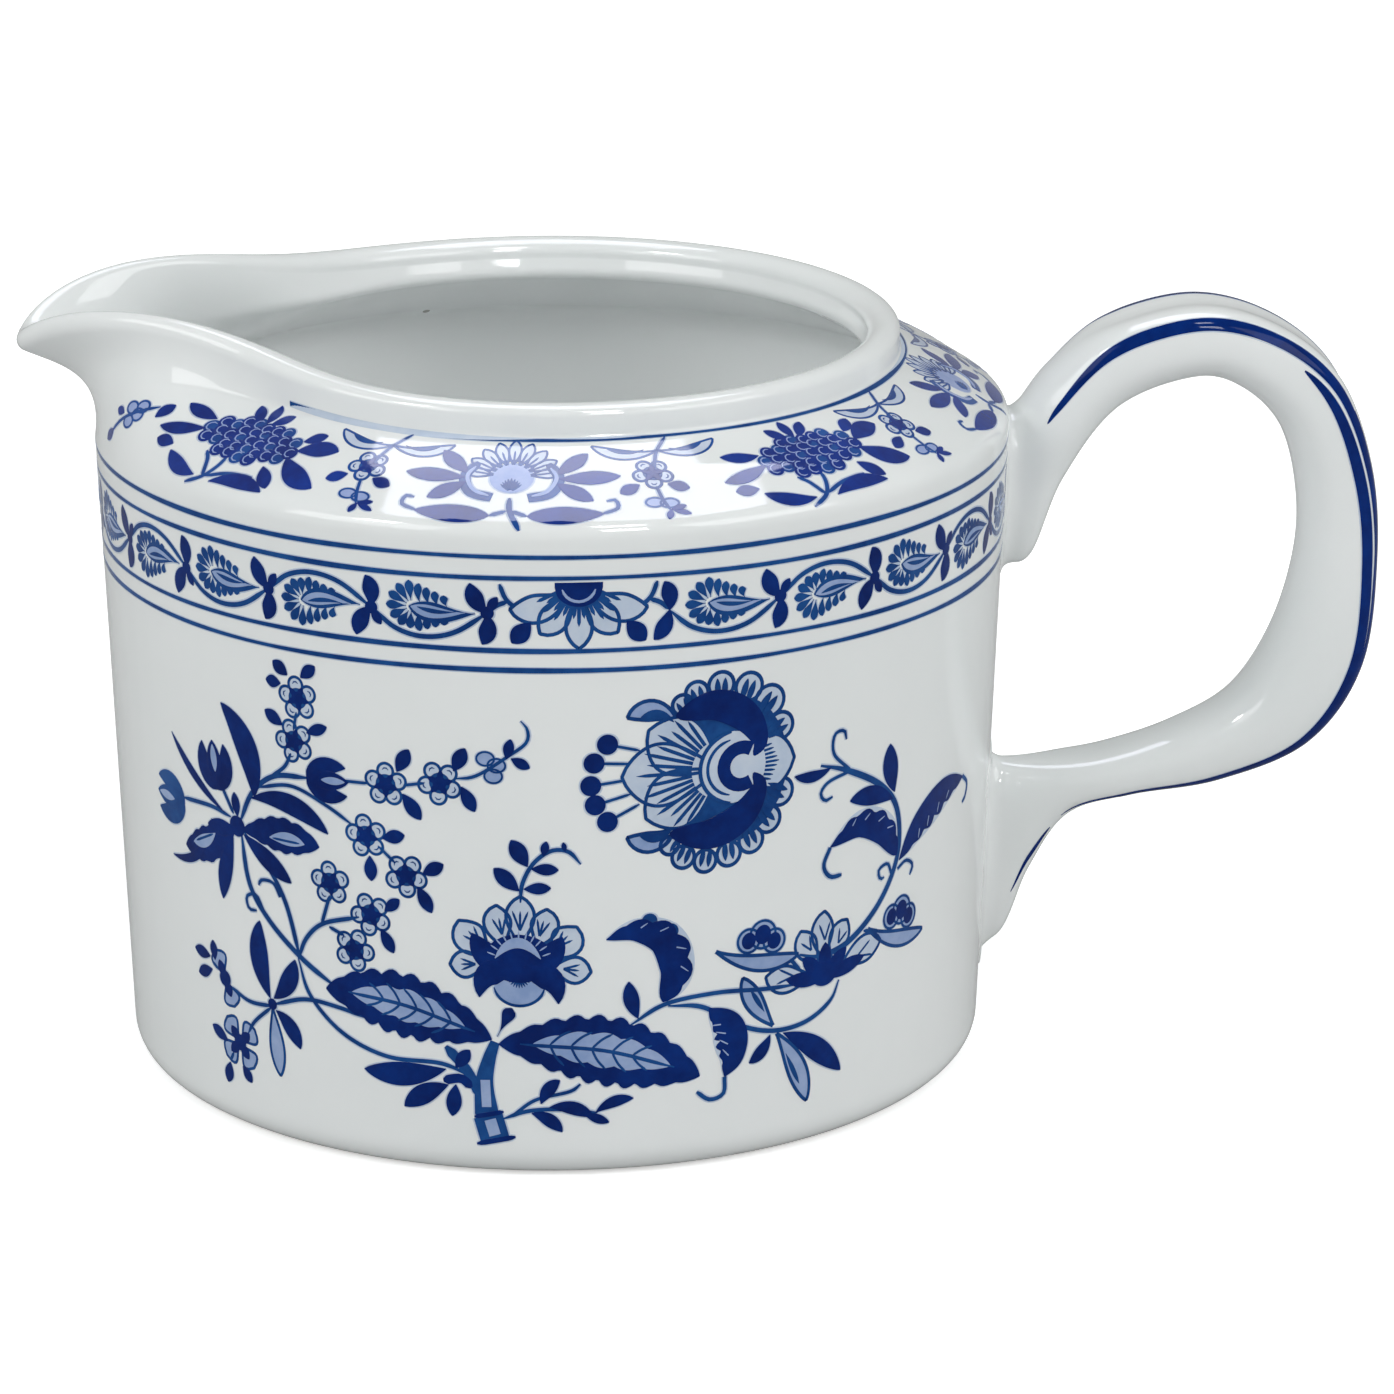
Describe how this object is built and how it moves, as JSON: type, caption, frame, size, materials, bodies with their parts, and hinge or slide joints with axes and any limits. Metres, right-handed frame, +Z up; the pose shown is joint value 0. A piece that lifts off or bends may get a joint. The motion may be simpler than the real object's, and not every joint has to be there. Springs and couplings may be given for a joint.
{
  "type": "cream jug",
  "caption": "Low cylindrical porcelain cream jug with a sloping shoulder, upright rim, pulled pouring spout and ear-shaped handle, with blue painted floral sprays and rings.",
  "frame": {"origin": "centre of the foot ring, on the plane that it rests on", "axes": "+Z up along the vessel's axis, the spout points along -X, the handle along +X, and the decorated front faces -Y"},
  "size_m": [0.1259, 0.0842, 0.0732],
  "materials": {
    "porcelain_body": "glossy clear glaze over cool white porcelain",
    "porcelain_handle": "glossy clear glaze over cool white porcelain",
    "slip": "white slip under the same clear glaze",
    "ring_blue": "thin underglaze blue ring",
    "printed_blue": "underglaze cobalt blue with paler washes",
    "brushed_cobalt": "hand brushed underglaze cobalt"
  },
  "bodies": {
    "root": {"jug_body": "porcelain_body", "handle": "porcelain_handle", "upper_slip_joint": "slip", "lower_slip_joint": "slip", "neck_line": "ring_blue", "upper_band_lines": "ring_blue", "lower_band_lines": "ring_blue", "band_scroll": "printed_blue", "shoulder_sprays": "printed_blue", "front_spray": "printed_blue", "back_spray": "printed_blue", "handle_strokes": "brushed_cobalt"}
  },
  "joints": []
}
